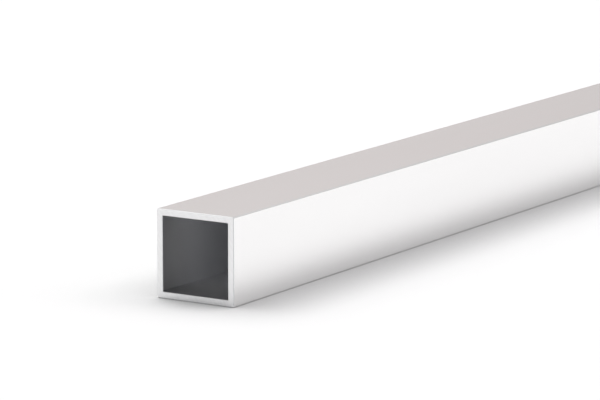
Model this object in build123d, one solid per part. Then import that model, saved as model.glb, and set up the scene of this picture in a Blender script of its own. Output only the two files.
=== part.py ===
from build123d import *
import os

# Square aluminium tube: a hollow bar pressed through a die in one piece and sawn to a stock length.
# X runs along the tube, Z is up, and the origin is the middle of the underside. Sizes are in mm.

# The section that the die gives
side = 20.0  # outside width and height
wall = 1.5  # thickness of each of the four walls
outside_corner_radius = 0.35  # nearly sharp, as an extruded corner is
inside_corner_radius = 0.25

# The length that the saw gives
length = 1000.0

# The edges of both sawn ends, broken with a file so that they don't cut hands
outside_edge_break = 0.15
inside_edge_break = 0.1


def section():
    """The tube's cross-section, standing on its underside, with the hollow cut through its middle."""
    outline = RectangleRounded(side, side, outside_corner_radius)
    hollow = RectangleRounded(side - 2 * wall, side - 2 * wall, inside_corner_radius)
    return Plane.YZ * Pos(0, side / 2) * (outline - hollow)


def sawn_ends(tube):
    """The two flat rims that the saw leaves."""
    return tube.faces().filter_by(Axis.X)


def square_tube():
    """The whole tube: its section pressed out to both sides of the origin, then its ends filed."""
    tube = extrude(section(), amount=length / 2, both=True)
    outside_edges = [edge for end in sawn_ends(tube) for edge in end.outer_wire().edges()]
    tube = chamfer(outside_edges, outside_edge_break)
    inside_edges = [
        edge for end in sawn_ends(tube) for loop in end.inner_wires() for edge in loop.edges()
    ]
    return chamfer(inside_edges, inside_edge_break)


os.makedirs("parts", exist_ok=True)
export_step(square_tube(), "parts/square_tube.step")
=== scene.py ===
import bpy
import math
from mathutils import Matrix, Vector


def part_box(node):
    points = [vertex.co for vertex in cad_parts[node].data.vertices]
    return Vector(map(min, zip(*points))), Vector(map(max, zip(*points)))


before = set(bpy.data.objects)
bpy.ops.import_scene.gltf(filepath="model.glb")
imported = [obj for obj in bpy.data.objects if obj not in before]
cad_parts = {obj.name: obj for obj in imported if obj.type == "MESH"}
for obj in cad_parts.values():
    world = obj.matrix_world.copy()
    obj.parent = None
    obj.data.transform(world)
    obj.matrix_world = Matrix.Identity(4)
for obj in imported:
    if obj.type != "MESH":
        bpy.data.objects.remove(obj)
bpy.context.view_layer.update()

# The tube: one length of aluminium alloy, pressed through a die in one go and cut with a cold saw.
# Its satin skin has the die's fine lines drawn along it, the hollow is duller because nothing has
# polished it, and the two cut rims show the sweep of the saw's teeth inside their filed edges.


class Wire:
    """A value on its way through a material's nodes, which can be used in ordinary arithmetic."""

    tree = None

    def __init__(self, socket):
        self.socket = socket

    @classmethod
    def node(cls, kind, settings=None, inputs=None, out=0):
        """An output of a new node, whose settings are made before its sockets get values or links."""
        made = cls.tree.nodes.new(kind)
        for name, value in (settings or {}).items():
            setattr(made, name, value)
        for name, value in (inputs or {}).items():
            if isinstance(value, Wire):
                cls.tree.links.new(value.socket, made.inputs[name])
            else:
                made.inputs[name].default_value = value
        return Wire(made.outputs[out]) if made.outputs else None

    @classmethod
    def math(cls, operation, *values):
        """What a Math node makes of numbers and wires."""
        return cls.node("ShaderNodeMath", {"operation": operation}, dict(enumerate(values)))

    def __add__(self, other):
        return Wire.math("ADD", self, other)

    def __radd__(self, other):
        return Wire.math("ADD", other, self)

    def __sub__(self, other):
        return Wire.math("SUBTRACT", self, other)

    def __rsub__(self, other):
        return Wire.math("SUBTRACT", other, self)

    def __mul__(self, other):
        return Wire.math("MULTIPLY", self, other)

    def __rmul__(self, other):
        return Wire.math("MULTIPLY", other, self)


def empty_material(name):
    """A material without nodes, which the wires that follow go into."""
    made = bpy.data.materials.new(name)
    made.use_nodes = True
    made.node_tree.nodes.clear()
    Wire.tree = made.node_tree
    return made


def ramp(value, start, end):
    """0 at start and 1 at end, with a smooth rise between. A start above the end makes it fall."""
    inputs = {"Value": value, "From Min": start, "From Max": end}
    return Wire.node("ShaderNodeMapRange", {"interpolation_type": "SMOOTHSTEP"}, inputs)


def blend(amount, first, second):
    """The first colour where the amount is 0, and the second where it is 1."""
    # A mix node's colour sockets come after those for numbers and vectors, so they go by their place
    return Wire.node("ShaderNodeMix", {"data_type": "RGBA"}, {0: amount, 6: first, 7: second}, 2)


def grain(size, stretch=1, detail=2):
    """Noise from 0 to 1 in patches of about that size in mm, drawn out along the tube by stretch."""
    steps = (1 / size / stretch, 1 / size, 1 / size)
    where = Wire.node("ShaderNodeVectorMath", {"operation": "MULTIPLY"}, {0: place, 1: steps})
    return Wire.node("ShaderNodeTexNoise", {}, {"Vector": where, "Scale": 1, "Detail": detail})


# The tube's sizes in mm
mm_per_metre = 1000
far_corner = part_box("square_tube")[1] * mm_per_metre
half_length = far_corner.x
half_side = far_corner.y
wall = 1.5
bore_face = half_side - wall
outside_edge_break = 0.15
inside_edge_break = 0.1

aluminium = empty_material("satin_aluminium")

# Where a point is, in mm from the middle of the tube, and how far from its faces, corners and ends
spot = Wire.node("ShaderNodeTexCoord", out="Object")
spot_mm = Wire.node("ShaderNodeVectorMath", {"operation": "SCALE"}, {0: spot, "Scale": mm_per_metre})
to_middle = (0, 0, -half_side)
place = Wire.node("ShaderNodeVectorMath", {"operation": "ADD"}, {0: spot_mm, 1: to_middle})
axes = Wire.node("ShaderNodeSeparateXYZ", {}, {0: place}).socket.node.outputs
along, across, up = (Wire.math("ABSOLUTE", Wire(axis)) for axis in axes)
from_axis = Wire.math("MAXIMUM", across, up)
from_corner = half_side - Wire.math("MINIMUM", across, up)
from_end = half_length - along

# The hollow starts at the outer line of its filed edge, and its floor is the lowest of its faces
hollow_start = bore_face + inside_edge_break
hollow_blur = 0.02
hollow = ramp(from_axis, hollow_start + hollow_blur, hollow_start - hollow_blur)
above_hollow_floor = Wire(axes[2]) + bore_face
floor_blur = 0.17
hollow_floor = ramp(above_hollow_floor, 2 * floor_blur, floor_blur)

# The die's lines, the fine grain of the pickled skin, its faint cloudiness, and the long corners,
# which other tubes in the bundle have rubbed smoother, in a strip whose edge wavers
die_lines = grain(size=0.3, stretch=600, detail=3)
skin_grain = grain(size=0.5)
clouds = grain(size=14, stretch=6)
rub_limit = 0.9
rub_full = 0.35
rub_waver = 0.8
rub_edge = from_corner + rub_waver * grain(size=1.2, stretch=4)
rubbed = ramp(rub_edge, rub_limit, rub_full) * (1 - hollow)


def filed_edge(from_face, width):
    """1 on an edge filed flat, where the ways to the cut and to the face add up to its width."""
    full_to = 1.05 * width
    gone_by = 1.15 * width
    return ramp(from_end + from_face, gone_by, full_to)


# The file that broke the edges of the cuts left them rough and dull
filed = Wire.math(
    "MAXIMUM",
    filed_edge(half_side - from_axis, outside_edge_break),
    filed_edge(Wire.math("ABSOLUTE", from_axis - bore_face), inside_edge_break),
)

# The saw's teeth leave arcs on the rims, about the middle of a blade that stood behind and below
marks_reach = 0.1
blade_middle = (0, 95, -70)
teeth_per_mm = 2.2
sawn = ramp(from_end, marks_reach, marks_reach / 2)
on_cut = Wire.node("ShaderNodeVectorMath", {"operation": "MULTIPLY"}, {0: place, 1: (0, 1, 1)})
from_blade = Wire.node(
    "ShaderNodeVectorMath", {"operation": "DISTANCE"}, {0: on_cut, 1: blade_middle}, "Value"
)
tooth_marks = Wire.node(
    "ShaderNodeTexNoise", {"noise_dimensions": "1D"},
    {"W": from_blade, "Scale": teeth_per_mm, "Detail": 3},
)

# The skin's colour, from bright to dull, with clouds and a fine speckle
bright_skin = (0.985, 0.98, 0.977, 1)
dull_skin = (0.895, 0.89, 0.887, 1)
speckle_share = 0.6
skin_marks = (1 - speckle_share) * clouds + speckle_share * skin_grain
skin = blend(skin_marks, bright_skin, dull_skin)

# The hollow's colour, with painted shade over its mouth that is strongest on its floor. Even at the
# cut the painted shade isn't at its full.
bore_colour = (0.65, 0.65, 0.662, 1)
mouth_shade_colour = (0.092, 0.092, 0.095, 1)
mouth_shade_reach = 16
full_mouth_shade_at = -8
floor_shade_share = 0.75
# Painted shade, darker towards the mouth of the hollow
mouth_shade = ramp(from_end, mouth_shade_reach, full_mouth_shade_at)
bore = blend(mouth_shade, bore_colour, mouth_shade_colour)
# More painted shade on the hollow's floor
bore = blend(floor_shade_share * mouth_shade * hollow_floor, bore, mouth_shade_colour)

# The cut's colour, from the ridges to the grooves of the arcs, and the filed edges round it
ridge_colour = (0.87, 0.87, 0.873, 1)
groove_colour = (0.84, 0.84, 0.845, 1)
filed_colour = (0.73, 0.73, 0.734, 1)
ridge_level = 0.35
groove_level = 0.65
cut = blend(ramp(tooth_marks, ridge_level, groove_level), ridge_colour, groove_colour)
colour = blend(filed, blend(sawn, blend(hollow, skin, bore), cut), filed_colour)

# Roughness, and what each mark adds to it or takes away
satin = 0.17
cloud_haze = 0.06
line_haze = 0.05
rub_polish = 0.06
saw_haze = 0.08
oxide_haze = 0.35
filed_roughness = 0.6
roughness = satin + cloud_haze * clouds + line_haze * die_lines - rub_polish * rubbed
roughness = roughness + saw_haze * sawn * (1 + tooth_marks) + oxide_haze * hollow
roughness = roughness + filed * (filed_roughness - roughness)

# The bore's thick oxide scatters light, so that little of it shines like bare metal
bare_metal_in_bore = 0.3
metallic = 1 - (1 - bare_metal_in_bore) * hollow

# Relief, as the height in thousandths of a mm that each mark could reach
line_height = 4
grain_height = 7
tooth_height = 12
micrometre = 1e-6
height = line_height * die_lines + grain_height * skin_grain + tooth_height * sawn * tooth_marks
relief = Wire.node("ShaderNodeBump", {}, {"Strength": 1, "Distance": micrometre, "Height": height})

surface = Wire.node("ShaderNodeBsdfPrincipled", {}, {
    "Base Color": colour, "Metallic": metallic, "Roughness": roughness, "Normal": relief,
})
Wire.node("ShaderNodeOutputMaterial", {}, {"Surface": surface})
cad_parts["square_tube"].material_slots[0].material = aluminium

# The floor: a wide sheet of matt white board, which the tube lies on. Close to the tube less of the
# room's light gets in between the two, so the board's colour is painted darker along the line where
# they meet: painted shade.
floor_width = 40
shade_reach = 0.02
shade_samples = 4
shaded_white = (0.32, 0.32, 0.32, 1)
open_white = (0.98, 0.98, 0.98, 1)
bpy.ops.mesh.primitive_plane_add(size=floor_width)
floor = bpy.context.object
floor.name = "floor"
floor.data.materials.append(empty_material("white_board"))
openness = Wire.node(
    "ShaderNodeAmbientOcclusion", {"samples": shade_samples}, {"Distance": shade_reach}, "AO"
)
board = Wire.node("ShaderNodeBsdfPrincipled", {}, {
    "Base Color": blend(openness, shaded_white, open_white), "Roughness": 1, "Specular IOR Level": 0,
})
Wire.node("ShaderNodeOutputMaterial", {}, {"Surface": board})

# The backdrop: a great white shell round the floor, so that the pale ground runs on behind the tube.
# Only the camera sees it. It gives no light and holds none back.
shell_radius = 0.48 * floor_width
bpy.ops.mesh.primitive_uv_sphere_add(radius=shell_radius)
shell = bpy.context.object
shell.name = "backdrop"
shell.data.materials.append(empty_material("white_backdrop"))
glow = Wire.node("ShaderNodeEmission", {}, {"Color": (1, 1, 1, 1), "Strength": 1})
Wire.node("ShaderNodeOutputMaterial", {}, {"Surface": glow})
for ray in ("diffuse", "glossy", "transmission", "volume_scatter", "shadow"):
    setattr(shell, "visible_" + ray, False)

# The light: a pale grey room with large soft lamps far off. The key is three of them, high behind
# the tube, so that its shadow comes forward. Each of the last five lights what it is named after.


def lamp(heading, height, spread, colour):
    """The glow of one soft lamp. Its heading from +X, its height and its spread are in degrees."""
    heading, height, spread = (math.radians(angle) for angle in (heading, height, spread))
    towards = Vector((math.cos(heading), math.sin(heading), math.tan(height))).normalized()
    facing = Wire.node(
        "ShaderNodeVectorMath", {"operation": "DOT_PRODUCT"}, {0: sight, 1: towards}, "Value"
    )
    falloff = Wire.math("EXPONENT", (facing - 1) * (1 / (1 - math.cos(spread))))
    return Wire.node("ShaderNodeVectorMath", {"operation": "SCALE"}, {0: colour, "Scale": falloff})


studio = bpy.data.worlds.new("studio")
studio.use_nodes = True
studio.node_tree.nodes.clear()
Wire.tree = studio.node_tree
sight = Wire.node("ShaderNodeTexCoord", out="Generated")
lamps = {
    "key, middle": lamp(heading=64, height=55, spread=22, colour=(1, 1, 1)),
    "key, below": lamp(heading=64, height=40, spread=22, colour=(0.95, 0.95, 0.95)),
    "key, beside": lamp(heading=90, height=55, spread=22, colour=(1.7, 1.7, 1.7)),
    "overhead": lamp(heading=0, height=80, spread=25, colour=(0.48, 0.48, 0.48)),
    "fill": lamp(heading=285, height=55, spread=26, colour=(0.43, 0.43, 0.43)),
    "long front face": lamp(heading=300, height=30, spread=20, colour=(1.62, 1.52, 1.57)),
    "long top corner": lamp(heading=350, height=35, spread=20, colour=(0.25, 0.25, 0.25)),
    "top face": lamp(heading=30, height=14, spread=16, colour=(0.225, 0.18, 0.175)),
    "sawn end": lamp(heading=150, height=16, spread=16, colour=(0.22, 0.22, 0.22)),
    "hollow": lamp(heading=210, height=2, spread=7, colour=(11, 11.6, 12.6)),
}
room = 0.395
light = Wire.node("ShaderNodeCombineXYZ", {}, {0: room, 1: room, 2: room})
for one_lamp in lamps.values():
    light = Wire.node("ShaderNodeVectorMath", {"operation": "ADD"}, {0: light, 1: one_lamp})
sky = Wire.node("ShaderNodeBackground", {}, {"Color": light, "Strength": 1})
Wire.node("ShaderNodeOutputWorld", {}, {"Surface": sky})
bpy.context.scene.world = studio
bpy.context.scene.view_settings.view_transform = "Standard"

# The camera: a long lens, 0.8 m off the near end of the tube and a little above it. It looks along
# the tube and slightly down, so that the far end runs out of the frame.
camera_place = (-1.15232, -0.43456, 0.17053)
camera_heading = Vector((0.83333, 0.52079, -0.18529))
focal_length = 220.72
film_width = 36
lens = bpy.data.cameras.new("camera")
lens.lens = focal_length
lens.sensor_width = film_width
camera = bpy.data.objects.new("camera", lens)
bpy.context.scene.collection.objects.link(camera)
camera.location = camera_place
camera.rotation_mode = "QUATERNION"
camera.rotation_quaternion = camera_heading.to_track_quat("-Z", "Y")
bpy.context.scene.camera = camera
